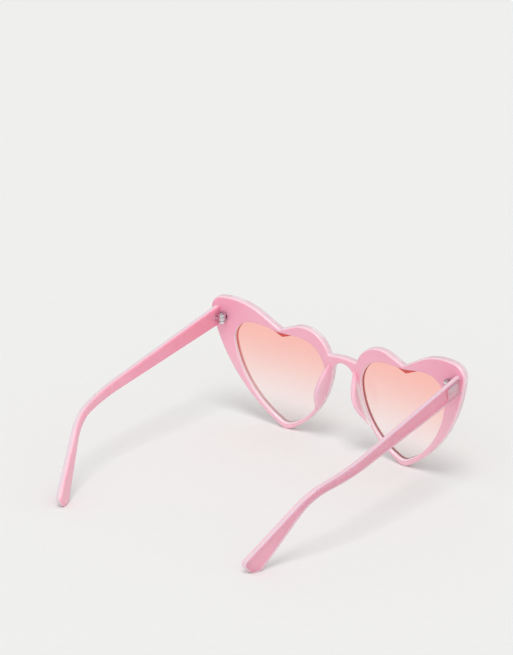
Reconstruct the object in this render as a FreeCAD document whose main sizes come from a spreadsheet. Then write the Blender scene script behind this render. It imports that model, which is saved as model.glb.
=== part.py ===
"""Heart shaped sunglasses: a bowed, laminated front with two lenses, and two folding laminated temples.

Own frame of the front: X to the wearer's left, Y towards the wearer, Z up, with the origin on the back
face, midway between the hearts, level with their lower tips. The stand placement at the end leans the
front back until it rests on the heart tips and the temple tips.
"""
import FreeCAD, Part
import math
import os

import Sketcher
from FreeCAD import Placement, Rotation, Vector

SIZES = [
    # The bowed, laminated front
    ("bow_radius", 480.0, "bow of the back face"),
    ("pink_thickness", 1.5, "pink layer on the wearer's side"),
    ("lens_level", 1.5, "clear layer beside the lens"),
    ("lip_thickness", 0.8, "clear layer in front of the lens"),
    ("sheet_margin", 3.0, "uncut sheet all round the front"),
    ("back_rim_round", 0.9, "outer rim on the wearer's side"),
    ("front_rim_round", 0.8, "outer rim on the outer side"),
    ("back_window_round", 0.6, "window's rim on the wearer's side"),
    ("front_window_round", 0.3, "window's rim on the outer side"),
    # Outer outline of one heart and half of the bridge
    ("front_lobe_x", 21.8, "inner lobe"),
    ("front_lobe_z", 39.7, "inner lobe"),
    ("front_lobe_radius", 14.4, "inner lobe"),
    ("front_cleft_x", 35.2, "cleft"),
    ("front_cleft_z", 51.2, "cleft"),
    ("front_cleft_radius", 1.2, "cleft"),
    ("front_wing_x", 62.7, "upper edge of the wing"),
    ("front_wing_z", 25.3, "upper edge of the wing"),
    ("front_wing_radius", 35.0, "upper edge of the wing"),
    ("front_corner_radius", 6.0, "wing's outer corner"),
    ("front_outer_x", 72.0, "half of the front's width"),
    ("front_side_radius", 76.0, "outer side"),
    ("front_tip_x", 33.8, "lower tip"),
    ("front_tip_z", 6.0, "lower tip"),
    ("front_tip_radius", 6.0, "lower tip"),
    ("front_nose_radius", 48.0, "side towards the nose"),
    ("bridge_top", 44.3, "top of the bridge"),
    ("bridge_thickness", 3.1, "bridge from its top to the arch"),
    ("bridge_radius", 45.0, "top of the bridge"),
    ("bridge_corner_radius", 1.0, "corner between bridge and lobe"),
    ("arch_radius", 6.2, "arch under the bridge"),
    # Window of the pink layer, which the lens covers
    ("window_lobe_x", 24.6, "inner lobe"),
    ("window_lobe_z", 34.0, "inner lobe"),
    ("window_lobe_radius", 14.3, "inner lobe"),
    ("window_cleft_x", 36.0, "cleft"),
    ("window_cleft_z", 51.3, "cleft"),
    ("window_cleft_radius", 3.0, "cleft"),
    ("window_wing_x", 49.6, "outer lobe's top"),
    ("window_wing_z", 10.2, "outer lobe's top"),
    ("window_wing_radius", 40.0, "outer lobe's top"),
    ("window_corner_radius", 10.0, "outer lobe's corner"),
    ("window_outer_x", 60.2, "outermost point"),
    ("window_side_radius", 47.0, "outer side"),
    ("window_tip_x", 33.5, "lower tip"),
    ("window_tip_z", 8.5, "lower tip"),
    ("window_tip_radius", 5.5, "lower tip"),
    ("window_nose_radius", 34.0, "side towards the nose"),
    # The clear lip hangs lower at its cleft than the pink layer does
    ("lip_cleft_x", 35.3, "cleft of the clear lip"),
    ("lip_cleft_z", 47.0, "cleft of the clear lip"),
    ("lip_cleft_radius", 1.5, "cleft of the clear lip"),
    ("lip_wing_x", 50.2, "outer lobe's top"),
    ("lip_wing_z", 30.2, "outer lobe's top"),
    ("lip_wing_radius", 20.0, "outer lobe's top"),
    # Lenses
    ("lens_overlap", 0.7, "lens edge held in the rim"),
    ("lens_play", 0.05, "gap round the lens"),
    # Nose pads, lofted through sections from their upper to their lower end
    ("pad_top_z", 39.8, "upper end"),
    ("pad_upper_z", 34.0, "upper section"),
    ("pad_middle_z", 28.5, "thickest section"),
    ("pad_lower_z", 21.0, "lower section"),
    ("pad_bottom_z", 15.5, "lower end"),
    ("pad_top_root_x", 6.9, "root on the rim"),
    ("pad_upper_root_x", 7.9, "root on the rim"),
    ("pad_middle_root_x", 9.1, "root on the rim"),
    ("pad_lower_root_x", 11.8, "root on the rim"),
    ("pad_bottom_root_x", 15.0, "root on the rim"),
    ("pad_top_lean", 0.2, "crest set out from the root"),
    ("pad_upper_lean", 1.0, "crest set out from the root"),
    ("pad_middle_lean", 1.3, "crest set out from the root"),
    ("pad_lower_lean", 1.1, "crest set out from the root"),
    ("pad_bottom_lean", 0.5, "crest set out from the root"),
    ("pad_top_rise", 0.1, "crest behind the back face"),
    ("pad_upper_rise", 3.2, "crest behind the back face"),
    ("pad_middle_rise", 5.2, "crest behind the back face"),
    ("pad_lower_rise", 3.2, "crest behind the back face"),
    ("pad_bottom_rise", 0.7, "crest behind the back face"),
    ("pad_root_depth", 0.6, "root in front of the back face, cut away"),
    ("pad_root_radius", 1.4, "half thickness at the root"),
    ("pad_crest_radius", 1.2, "half thickness at the crest"),
    ("pad_end_radius", 0.6, "half thickness at both ends"),
    # Hinges, about an upright pivot behind the back face
    ("pivot_inset", 7.2, "pivot from the front's side edge"),
    ("pivot_z", 50.6, "middle of the barrel"),
    ("pivot_behind", 2.6, "pivot behind the back face"),
    ("knuckle_radius", 1.9, "barrel"),
    ("middle_knuckle", 1.7, "temple's knuckle"),
    ("outer_knuckle", 1.25, "each of the front's knuckles"),
    ("knuckle_gap", 0.1, "between knuckles"),
    ("screw_radius", 0.7, "screw's shank"),
    ("screw_head_radius", 1.2, "screw's head"),
    ("screw_head_height", 0.5, "screw's head"),
    ("screw_slot_width", 0.35, "slot in the head"),
    ("screw_slot_depth", 0.3, "slot in the head"),
    ("thread_play", 0.02, "screw in the front's knuckles"),
    ("running_play", 0.05, "screw in the temple's knuckle"),
    ("leaf_thickness", 0.8, "plates set into the clear layers"),
    ("leaf_play", 0.03, "plates and necks in the plastic"),
    ("front_leaf_width", 5.0, "plate in the front"),
    ("front_leaf_height", 6.2, "plate in the front"),
    ("neck_width", 2.4, "necks from plate to knuckle"),
    ("temple_neck_height", 1.3, "neck of the temple's leaf"),
    ("temple_leaf_length", 7.0, "plate in the temple"),
    ("temple_leaf_height", 5.2, "plate in the temple"),
    ("temple_leaf_setback", 1.6, "plate behind the temple's end"),
    # Temples: a bar that runs back, bends down behind the ear and curves in; its side view is a polygon
    # with rounded corners, measured back from its front end and up or down from its middle there
    ("temple_inset", 3.3, "temple's middle at its front end, from the front's side edge"),
    ("temple_z", 50.8, "temple's middle at its front end"),
    ("temple_pitch", 7.4, "degrees down from square to the front"),
    ("temple_splay", 0.9, "degrees outwards"),
    ("temple_thickness", 3.0, "both layers"),
    ("temple_pink_thickness", 1.4, "pink layer on the wearer's side"),
    ("temple_round", 0.9, "rounding of the long edges"),
    ("temple_end_gap", 0.15, "temple's end from the back face"),
    ("temple_forward", 3.0, "bar before its end is cut"),
    ("temple_hinge_above", 4.55, "upper edge at the hinge"),
    ("temple_hinge_below", 4.6, "lower edge at the hinge"),
    ("temple_outer_bend_y", 101.3, "corner of the upper edge"),
    ("temple_outer_bend_above", 2.7, "corner of the upper edge"),
    ("temple_outer_bend_radius", 29.0, "bend of the upper edge"),
    ("temple_inner_bend_y", 101.4, "corner of the lower edge"),
    ("temple_inner_bend_below", 1.0, "corner of the lower edge"),
    ("temple_inner_bend_radius", 21.0, "bend of the lower edge"),
    ("temple_rear_y", 134.5, "rear corner of the tip"),
    ("temple_rear_below", 18.8, "rear corner of the tip"),
    ("temple_rear_radius", 2.2, "rear corner of the tip"),
    ("temple_heel_ahead", 3.0, "lower rear corner, ahead of the rear one"),
    ("temple_heel_drop", 5.6, "lower rear corner, below the rear one"),
    ("temple_heel_radius", 1.8, "lower rear corner of the tip"),
    ("temple_toe_ahead", 7.7, "lower front corner, ahead of the rear one"),
    ("temple_toe_drop", 6.0, "lower front corner, below the rear one"),
    ("temple_toe_radius", 1.2, "lower front corner of the tip"),
    ("temple_curve_start", 69.6, "where the bar starts to curve in"),
    ("temple_curve_radius", 100.0, "inward curve of the middle line"),
    ("temple_curve_angle", 23.0, "degrees of the inward curve"),
    ("tool_reach", 20.0, "how far cuts reach past the plastic"),
]

doc = FreeCAD.newDocument("sunglasses")
sheet = doc.addObject("Spreadsheet::Sheet", "sizes")


class Size:
    """A size of the sheet, or a sum of sizes: its number and its expression."""

    def __init__(self, number, words):
        self.number = number
        self.words = words

    def __add__(self, other):
        return Size(self.number + other.number, f"{self.words} + {other.words}")

    def __sub__(self, other):
        return Size(self.number - other.number, f"{self.words} - ({other.words})")


def fill_sheet():
    """Write every size into the sheet, with its alias and what it measures."""
    for row, (alias, number, meaning) in enumerate(SIZES, start=1):
        sheet.set(f"A{row}", alias)
        sheet.set(f"B{row}", str(number))
        sheet.set(f"C{row}", meaning)
        sheet.setAlias(f"B{row}", alias)
    doc.recompute()


def size(alias):
    """One size of the sheet."""
    return Size(float(sheet.get(alias)), f"sizes.{alias}")


def number(alias):
    """One size of the sheet as a plain number."""
    return size(alias).number


def minus(value):
    """A size on the other side of the origin."""
    return Size(-value.number, f"-({value.words})")


def half(value):
    """Half of a size."""
    return Size(value.number / 2, f"({value.words}) / 2")


def back_face_y(x):
    """How far the bowed back face lies behind its middle."""
    bow = number("bow_radius")
    return bow - math.sqrt(bow ** 2 - x ** 2)


def sheet_half_width():
    """Half the width of the uncut sheet."""
    return size("front_outer_x") + size("sheet_margin") + size("sheet_margin")


def sheet_height():
    """The height of the uncut sheet, from a margin below the tips to a margin over the wings."""
    wing_top = size("front_wing_z") + size("front_wing_radius")
    return wing_top + size("sheet_margin") + size("sheet_margin")


def temple_blank_length():
    """The length of the bar before its tip is cut."""
    return size("temple_rear_y") + half(size("tool_reach"))


class Profile:
    """A sketch on one of its body's origin planes, with its sizes bound to the sheet."""

    def __init__(self, body, name, plane="XY_Plane", offset=None):
        self.sketch = body.newObject("Sketcher::SketchObject", name)
        planes = {feature.Role: feature for feature in body.Origin.OriginFeatures}
        self.sketch.AttachmentSupport = [(planes[plane], "")]
        self.sketch.MapMode = "FlatFace"
        if offset:
            self.sketch.AttachmentOffset = offset

    def line(self, start, end):
        """A straight edge."""
        return self.sketch.addGeometry(Part.LineSegment(Vector(*start), Vector(*end)))

    def arc(self, centre, radius, start, end):
        """An arc, anticlockwise from one angle to the other."""
        while end < start:
            end += 2 * math.pi
        circle = Part.Circle(Vector(*centre), Vector(0, 0, 1), radius)
        return self.sketch.addGeometry(Part.ArcOfCircle(circle, start, end))

    def rule(self, kind, *where):
        """A constraint without a size."""
        return self.sketch.addConstraint(Sketcher.Constraint(kind, *where))

    def measure(self, kind, where, value):
        """A constraint whose size is bound to the sheet."""
        index = self.sketch.addConstraint(Sketcher.Constraint(kind, *where, value.number))
        self.sketch.setExpression(f"Constraints[{index}]", value.words)

    def radius(self, arc, value):
        """An arc's radius."""
        self.measure("Radius", (arc,), value)

    def place(self, edge, point, x=None, z=None):
        """A point's distances from the sketch's origin."""
        if x:
            self.measure("DistanceX", (-1, 1, edge, point), x)
        if z:
            self.measure("DistanceY", (-1, 1, edge, point), z)


START, END, CENTRE = range(1, 4)
HEART_PARTS = ("lobe", "cleft", "wing", "corner", "side", "tip", "nose")


def heart_sizes(prefix, cleft_prefix=None, grow=None):
    """The sizes of a heart outline, moved out all round by grow where it is given."""
    named = {}
    for part in HEART_PARTS:
        source = cleft_prefix if cleft_prefix and part in ("cleft", "wing") else prefix
        radius = size(f"{source}_{part}_radius")
        if grow:
            radius = radius - grow if part == "cleft" else radius + grow
        named[part] = radius
        if part in ("lobe", "cleft", "wing", "tip"):
            named[part + "_x"] = size(f"{source}_{part}_x")
            named[part + "_z"] = size(f"{source}_{part}_z")
    outer = size(f"{prefix}_outer_x")
    if grow:
        outer = outer + grow
    named["corner_x"] = outer - named["corner"]
    return named


def meeting_point(first, first_reach, second, second_reach, side):
    """The point at given distances from two points, on the left (1) or right (-1) of the way between."""
    across = (second[0] - first[0], second[1] - first[1])
    gap = math.hypot(*across)
    along = (first_reach ** 2 - second_reach ** 2 + gap ** 2) / (2 * gap)
    height = side * math.sqrt(first_reach ** 2 - along ** 2)
    unit = (across[0] / gap, across[1] / gap)
    return (first[0] + along * unit[0] - height * unit[1], first[1] + along * unit[1] + height * unit[0])


def bearing(start, end):
    """The angle of the way from one point to another."""
    return math.atan2(end[1] - start[1], end[0] - start[0])


def draw_heart_top(profile, named):
    """The tip, side, corner, wing, cleft and lobe of a heart, anticlockwise, without its nose side.

    Returns the edges by name, with the centres and angles that the nose side needs.
    """
    radius = {part: named[part].number for part in HEART_PARTS}
    centre = {
        part: (named[part + "_x"].number, named[part + "_z"].number)
        for part in ("lobe", "cleft", "wing", "tip")
    }
    corner_x = named["corner_x"].number
    corner_reach = radius["wing"] - radius["corner"]
    corner_rise = math.sqrt(corner_reach ** 2 - (corner_x - centre["wing"][0]) ** 2)
    centre["corner"] = (corner_x, centre["wing"][1] + corner_rise)
    centre["side"] = meeting_point(
        centre["corner"], radius["side"] - radius["corner"],
        centre["tip"], radius["side"] - radius["tip"], -1)
    wing_gap = math.dist(centre["wing"], centre["cleft"])
    wing_normal = bearing(centre["wing"], centre["cleft"]) - math.acos(
        (radius["wing"] + radius["cleft"]) / wing_gap)
    lobe_gap = math.dist(centre["lobe"], centre["cleft"])
    lobe_normal = bearing(centre["lobe"], centre["cleft"]) + math.acos(
        (radius["lobe"] + radius["cleft"]) / lobe_gap)

    def on(part, angle, reach=1):
        """A point on an arc's circle."""
        x, z = centre[part]
        return (x + reach * radius[part] * math.cos(angle), z + reach * radius[part] * math.sin(angle))

    side_start = bearing(centre["side"], centre["tip"])
    side_end = bearing(centre["side"], centre["corner"])
    wing_start = bearing(centre["wing"], centre["corner"])
    edge = {
        "side": profile.arc(centre["side"], radius["side"], side_start, side_end),
        "corner": profile.arc(centre["corner"], radius["corner"], side_end, wing_start),
        "wing": profile.arc(centre["wing"], radius["wing"], wing_start, wing_normal),
        "wing_slope": profile.line(on("wing", wing_normal), on("cleft", wing_normal, -1)),
        "cleft": profile.arc(
            centre["cleft"], radius["cleft"], lobe_normal + math.pi, wing_normal + math.pi),
        "lobe_slope": profile.line(on("cleft", lobe_normal, -1), on("lobe", lobe_normal)),
    }
    profile.rule("Tangent", edge["side"], END, edge["corner"], START)
    profile.rule("Tangent", edge["corner"], END, edge["wing"], START)
    profile.rule("Tangent", edge["wing"], END, edge["wing_slope"], START)
    profile.rule("Tangent", edge["wing_slope"], END, edge["cleft"], END)
    profile.rule("Tangent", edge["cleft"], START, edge["lobe_slope"], START)
    return edge, centre, radius, side_start, lobe_normal


def size_heart(profile, edge, named):
    """Bind a drawn heart's radii and centres to the sheet."""
    for part in HEART_PARTS:
        profile.radius(edge[part], named[part])
    for part in ("lobe", "cleft", "wing", "tip"):
        profile.place(edge[part], CENTRE, named[part + "_x"], named[part + "_z"])
    profile.place(edge["corner"], CENTRE, named["corner_x"])


def draw_heart(profile, named):
    """A closed heart."""
    edge, centre, radius, side_start, lobe_normal = draw_heart_top(profile, named)
    nose = meeting_point(
        centre["lobe"], radius["nose"] - radius["lobe"], centre["tip"], radius["nose"] - radius["tip"], 1)
    nose_start = bearing(nose, centre["lobe"])
    nose_end = bearing(nose, centre["tip"])
    edge["lobe"] = profile.arc(centre["lobe"], radius["lobe"], lobe_normal, nose_start)
    edge["nose"] = profile.arc(nose, radius["nose"], nose_start, nose_end)
    edge["tip"] = profile.arc(centre["tip"], radius["tip"], nose_end, side_start)
    profile.rule("Tangent", edge["lobe_slope"], END, edge["lobe"], START)
    profile.rule("Tangent", edge["lobe"], END, edge["nose"], START)
    profile.rule("Tangent", edge["nose"], END, edge["tip"], START)
    profile.rule("Tangent", edge["tip"], END, edge["side"], START)
    size_heart(profile, edge, named)


def draw_half_front(profile):
    """One heart with its half of the bridge, closed along the middle plane."""
    named = heart_sizes("front")
    edge, centre, radius, side_start, lobe_normal = draw_heart_top(profile, named)
    top, top_radius = number("bridge_top"), number("bridge_radius")
    corner_radius, arch_radius = number("bridge_corner_radius"), number("arch_radius")
    bridge = (0, top - top_radius)
    corner = meeting_point(
        bridge, top_radius + corner_radius, centre["lobe"], radius["lobe"] + corner_radius, 1)
    arch = (0, top - number("bridge_thickness") - arch_radius)
    nose = meeting_point(
        arch, radius["nose"] + arch_radius, centre["tip"], radius["nose"] - radius["tip"], 1)
    upright = math.pi / 2
    nose_end = bearing(nose, centre["tip"])
    edge["lobe"] = profile.arc(
        centre["lobe"], radius["lobe"], lobe_normal, bearing(centre["lobe"], corner))
    edge["bridge_corner"] = profile.arc(
        corner, corner_radius, bearing(corner, bridge), bearing(corner, centre["lobe"]))
    edge["bridge"] = profile.arc(bridge, top_radius, bearing(bridge, corner), upright)
    edge["middle"] = profile.line((0, top), (0, arch[1] + arch_radius))
    edge["arch"] = profile.arc(arch, arch_radius, bearing(arch, nose), upright)
    edge["nose"] = profile.arc(nose, radius["nose"], bearing(nose, arch), nose_end)
    edge["tip"] = profile.arc(centre["tip"], radius["tip"], nose_end, side_start)
    profile.rule("Tangent", edge["lobe_slope"], END, edge["lobe"], START)
    profile.rule("Tangent", edge["lobe"], END, edge["bridge_corner"], END)
    profile.rule("Tangent", edge["bridge_corner"], START, edge["bridge"], START)
    profile.rule("Coincident", edge["bridge"], END, edge["middle"], START)
    profile.rule("Coincident", edge["middle"], END, edge["arch"], END)
    profile.rule("Tangent", edge["arch"], START, edge["nose"], START)
    profile.rule("Tangent", edge["nose"], END, edge["tip"], START)
    profile.rule("Tangent", edge["tip"], END, edge["side"], START)
    profile.rule("Vertical", edge["middle"])
    profile.rule("PointOnObject", edge["middle"], START, -2)
    profile.rule("PointOnObject", edge["bridge"], CENTRE, -2)
    profile.rule("PointOnObject", edge["arch"], CENTRE, -2)
    size_heart(profile, edge, named)
    profile.radius(edge["bridge_corner"], size("bridge_corner_radius"))
    profile.radius(edge["bridge"], size("bridge_radius"))
    profile.radius(edge["arch"], size("arch_radius"))
    profile.place(edge["bridge"], END, z=size("bridge_top"))
    profile.place(edge["arch"], END, z=size("bridge_top") - size("bridge_thickness"))


def draw_sheet_section(profile, inner, outer):
    """The plan of half a bowed sheet between two radii."""
    bow = size("bow_radius")
    reach = sheet_half_width().number
    centre = (0, bow.number)
    down = -math.pi / 2
    arcs = []
    for radius in (inner, outer):
        arcs.append(profile.arc(centre, radius.number, down, down + math.asin(reach / radius.number)))
    ends = [(reach, bow.number - math.sqrt(radius.number ** 2 - reach ** 2)) for radius in (inner, outer)]
    middle = profile.line((0, bow.number - inner.number), (0, bow.number - outer.number))
    edge = profile.line(ends[0], ends[1])
    profile.rule("Coincident", arcs[0], START, middle, START)
    profile.rule("Coincident", arcs[1], START, middle, END)
    profile.rule("Coincident", arcs[0], END, edge, START)
    profile.rule("Coincident", arcs[1], END, edge, END)
    profile.rule("Coincident", arcs[0], CENTRE, arcs[1], CENTRE)
    profile.rule("PointOnObject", arcs[0], CENTRE, -2)
    profile.rule("PointOnObject", arcs[0], START, -2)
    profile.rule("PointOnObject", arcs[1], START, -2)
    profile.place(arcs[0], CENTRE, z=bow)
    profile.radius(arcs[0], inner)
    profile.radius(arcs[1], outer)
    for arc in arcs:
        profile.place(arc, END, sheet_half_width())


def draw_rectangle(profile, left, right, bottom, top):
    """An upright rectangle whose sides lie at given distances from the sketch's origin."""
    corners = [(left, bottom), (right, bottom), (right, top), (left, top)]
    edges = []
    for index, (x, z) in enumerate(corners):
        next_x, next_z = corners[(index + 1) % 4]
        edges.append(profile.line((x.number, z.number), (next_x.number, next_z.number)))
    for index in range(4):
        profile.rule("Coincident", edges[index], END, edges[(index + 1) % 4], START)
    profile.rule("Horizontal", edges[0])
    profile.rule("Vertical", edges[1])
    profile.rule("Horizontal", edges[2])
    profile.rule("Vertical", edges[3])
    profile.place(edges[0], START, left, bottom)
    profile.place(edges[2], START, right, top)


def new_body(label):
    """An empty body."""
    body = doc.addObject("PartDesign::Body", label)
    body.Label = label
    return body


def pad_sheet(body, name, inner, outer):
    """A bowed sheet between two radii, taller and wider than the front."""
    below = Placement(Vector(0, 0, -number("sheet_margin")), Rotation())
    profile = Profile(body, name + "_plan", offset=below)
    draw_sheet_section(profile, inner, outer)
    pad = body.newObject("PartDesign::Pad", name)
    pad.Profile = profile.sketch
    pad.setExpression("Length", sheet_height().words)
    doc.recompute()


def cut_through(body, name, profile, length="2 * sizes.front_outer_x"):
    """Cut a sketch's area out of the body, both ways from its plane, and see that it does."""
    before = body.Shape.Volume
    pocket = body.newObject("PartDesign::Pocket", name)
    pocket.Profile = profile.sketch
    pocket.SideType = "Symmetric"
    pocket.setExpression("Length", length)
    doc.recompute()
    if body.Shape.Volume > before * 0.9999:
        raise RuntimeError(f"{body.Label}: {name} cuts nothing")


def cut_window(body, name, named):
    """Cut a heart shaped window through the body."""
    profile = Profile(body, name + "_heart", "XZ_Plane")
    draw_heart(profile, named)
    cut_through(body, name, profile)


def cut_outline(body):
    """Cut away all that lies outside the front's outline."""
    profile = Profile(body, "outline", "XZ_Plane")
    draw_half_front(profile)
    margin = size("sheet_margin")
    draw_rectangle(
        profile, minus(margin), sheet_half_width() + margin,
        minus(margin + margin), sheet_height() + margin)
    cut_through(body, "trim", profile)


def bowed_face(shape, radius):
    """The bowed face of that radius."""
    for face in shape.Faces:
        surface = face.Surface
        upright = isinstance(surface, Part.Cylinder) and abs(abs(surface.Axis.z) - 1) < 1e-6
        if upright and abs(surface.Radius - radius) < 1e-4:
            return face
    raise RuntimeError(f"no bowed face of radius {radius}")


def round_edges(body, name, edges, alias):
    """Round some edges of the body with a radius of the sheet."""
    base = body.Tip
    names = []
    for index, candidate in enumerate(base.Shape.Edges, start=1):
        if any(candidate.isSame(edge) for edge in edges):
            names.append(f"Edge{index}")
    fillet = body.newObject("PartDesign::Fillet", name)
    fillet.Base = (base, names)
    fillet.setExpression("Radius", f"sizes.{alias}")
    doc.recompute()


def round_rim(body, radius, alias):
    """Round the outer rim of the bowed face of that radius, but not its middle edge."""
    face = bowed_face(body.Tip.Shape, radius)
    edges = [edge for edge in face.OuterWire.Edges if edge.BoundBox.XMax > 1e-3]
    round_edges(body, "rim_rounding", edges, alias)


def round_window(body, radius, alias):
    """Round the window's edge on the bowed face of that radius."""
    face = bowed_face(body.Tip.Shape, radius)
    edges = [edge for wire in face.Wires if not wire.isSame(face.OuterWire) for edge in wire.Edges]
    round_edges(body, "window_rounding", edges, alias)


def mirror_whole(body):
    """Complete the front with its other half."""
    planes = {feature.Role: feature for feature in body.Origin.OriginFeatures}
    mirrored = body.newObject("PartDesign::Mirrored", "other_half")
    mirrored.TransformMode = "Whole shape"
    mirrored.MirrorPlane = (planes["YZ_Plane"], [""])
    body.Tip = mirrored
    doc.recompute()


def pivot_x():
    """The left pivot from the middle plane."""
    return size("front_outer_x") - size("pivot_inset")


def temple_x():
    """The left temple's middle at its front end, from the middle plane."""
    return size("front_outer_x") - size("temple_inset")


def hinge_placement():
    """The left pivot's own frame: Y square to the back face there, Z along the barrel."""
    x = pivot_x().number
    turn = math.asin(x / number("bow_radius"))
    behind = number("pivot_behind")
    foot = Vector(x, back_face_y(x), number("pivot_z"))
    base = foot + Vector(-math.sin(turn), math.cos(turn), 0) * behind
    return Placement(base, Rotation(Vector(0, 0, 1), math.degrees(turn)))


def temple_placement():
    """The left temple's own frame: origin at its front end, Y along its straight run, X outwards."""
    x = temple_x().number
    base = Vector(x, back_face_y(x), number("temple_z"))
    splay = Rotation(Vector(0, 0, 1), -number("temple_splay"))
    pitch = Rotation(Vector(1, 0, 0), -number("temple_pitch"))
    return Placement(base, splay * pitch)


def make_front_pink_layer():
    """The pink layer on the wearer's side, with a window for each lens and a slot for each hinge."""
    body = new_body("front_pink_layer")
    bow = size("bow_radius")
    pad_sheet(body, "sheet", bow, bow + size("pink_thickness"))
    cut_outline(body)
    round_rim(body, bow.number, "back_rim_round")
    cut_window(body, "window", heart_sizes("window"))
    round_window(body, bow.number, "back_window_round")
    profile = Profile(body, "hinge_slot", offset=hinge_placement() * Placement(
        Vector(), Rotation(Vector(1, 0, 0), 90)))
    half_width = half(size("neck_width")) + size("leaf_play")
    half_height = barrel_half() + size("leaf_play")
    draw_rectangle(profile, minus(half_width), half_width, minus(half_height), half_height)
    cut_through(body, "slot", profile, "4 * sizes.pivot_behind")
    mirror_whole(body)
    return body


def make_front_clear_layer():
    """The clear layer: a seat beside each lens, a lip in front of it and a recess for each hinge leaf."""
    body = new_body("front_clear_layer")
    seat_back = size("bow_radius") + size("pink_thickness")
    lip_back = seat_back + size("lens_level")
    lip_front = lip_back + size("lip_thickness")
    pad_sheet(body, "seat_sheet", seat_back, lip_back)
    cut_window(body, "lens_seat", heart_sizes("window", grow=size("lens_overlap")))
    pad_sheet(body, "lip_sheet", lip_back, lip_front)
    cut_outline(body)
    round_rim(body, lip_front.number, "front_rim_round")
    cut_window(body, "window", heart_sizes("window", cleft_prefix="lip"))
    round_window(body, lip_front.number, "front_window_round")
    depth = number("pivot_behind") + number("pink_thickness")
    face_out = Placement(Vector(0, -depth, 0), Rotation(Vector(1, 0, 0), 90))
    profile = Profile(body, "leaf_recess", offset=hinge_placement() * face_out)
    half_width = half(size("front_leaf_width")) + size("leaf_play")
    half_height = half(size("front_leaf_height")) + size("leaf_play")
    draw_rectangle(profile, minus(half_width), half_width, minus(half_height), half_height)
    cut_through(body, "recess", profile, "2 * (sizes.leaf_thickness + sizes.leaf_play)")
    mirror_whole(body)
    return body


def make_lens():
    """The left lens, bowed like the front, its edge held between the two layers."""
    body = new_body("left_lens")
    back = size("bow_radius") + size("pink_thickness") + size("lens_play")
    front = size("bow_radius") + size("pink_thickness") + size("lens_level") - size("lens_play")
    pad_sheet(body, "sheet", back, front)
    profile = Profile(body, "outline", "XZ_Plane")
    draw_heart(profile, heart_sizes("window", grow=size("lens_overlap") - size("lens_play")))
    margin = size("sheet_margin")
    draw_rectangle(
        profile, minus(margin), sheet_half_width() + margin,
        minus(margin + margin), sheet_height() + margin)
    cut_through(body, "trim", profile)
    return body


def draw_pad_section(profile, root, crest, root_radius, crest_radius):
    """A tapered slot from root to crest."""
    gap = math.dist(root, crest)
    lean = bearing(root, crest)
    open_angle = math.acos((root_radius.number - crest_radius.number) / gap)
    first, second = lean - open_angle, lean + open_angle

    def on(centre, radius, angle):
        """A point on one of the two round ends."""
        return (centre[0] + radius * math.cos(angle), centre[1] + radius * math.sin(angle))

    crest_arc = profile.arc(crest, crest_radius.number, first, second)
    root_arc = profile.arc(root, root_radius.number, second, first)
    outer = profile.line(on(root, root_radius.number, first), on(crest, crest_radius.number, first))
    inner = profile.line(on(crest, crest_radius.number, second), on(root, root_radius.number, second))
    profile.rule("Tangent", outer, END, crest_arc, START)
    profile.rule("Tangent", crest_arc, END, inner, START)
    profile.rule("Tangent", inner, END, root_arc, START)
    profile.rule("Tangent", root_arc, END, outer, START)
    profile.radius(crest_arc, crest_radius)
    profile.radius(root_arc, root_radius)
    return root_arc, crest_arc


def make_nose_pad():
    """The left nose pad, a rounded fin on the rim beside the nose, cut to sit on the back face."""
    body = new_body("left_nose_pad")
    sections = []
    for level in ("top", "upper", "middle", "lower", "bottom"):
        at_end = level in ("top", "bottom")
        root_radius = size("pad_end_radius" if at_end else "pad_root_radius")
        crest_radius = size("pad_end_radius" if at_end else "pad_crest_radius")
        height = Placement(Vector(0, 0, number(f"pad_{level}_z")), Rotation())
        profile = Profile(body, f"section_{level}", offset=height)
        root_x = size(f"pad_{level}_root_x")
        crest_x = root_x + size(f"pad_{level}_lean")
        face = Size(
            back_face_y(root_x.number),
            f"sizes.bow_radius - sqrt(sizes.bow_radius ^ 2 - ({root_x.words}) ^ 2)")
        root_y = face - size("pad_root_depth")
        crest_y = face + size(f"pad_{level}_rise")
        root_arc, crest_arc = draw_pad_section(
            profile, (root_x.number, root_y.number), (crest_x.number, crest_y.number),
            root_radius, crest_radius)
        profile.place(root_arc, CENTRE, root_x, root_y)
        profile.place(crest_arc, CENTRE, crest_x, crest_y)
        sections.append(profile.sketch)
    loft = body.newObject("PartDesign::AdditiveLoft", "fin")
    loft.Profile = sections[0]
    loft.Sections = sections[1:]
    doc.recompute()
    bow = size("bow_radius")
    seat = Profile(body, "seat_plan")
    draw_sheet_section(seat, bow, bow + size("pad_root_depth") + size("sheet_margin"))
    cut_through(body, "seat", seat)
    return body


def barrel_half():
    """Half of the hinge barrel's height."""
    return half(size("middle_knuckle")) + size("knuckle_gap") + size("outer_knuckle")


def new_box(name, place, x, y, z):
    """A box with one corner at the origin of its placement."""
    box = doc.addObject("Part::Box", name)
    for side, value in (("Length", x), ("Width", y), ("Height", z)):
        box.setExpression(side, value)
    box.Placement = place
    return box


def new_cylinder(name, place, radius, height):
    """An upright cylinder on the origin of its placement."""
    cylinder = doc.addObject("Part::Cylinder", name)
    cylinder.setExpression("Radius", radius)
    cylinder.setExpression("Height", height)
    cylinder.Placement = place
    return cylinder


def at(x, y, z):
    """A plain shift."""
    return Placement(Vector(x, y, z), Rotation())


def fuse(name, shapes):
    """Several shapes as one."""
    joined = doc.addObject("Part::MultiFuse", name)
    joined.Shapes = shapes
    joined.Refine = True
    return joined


def cut(name, base, tool):
    """One shape less another."""
    rest = doc.addObject("Part::Cut", name)
    rest.Base = base
    rest.Tool = tool
    rest.Refine = True
    rest.Label = name
    return rest


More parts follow.
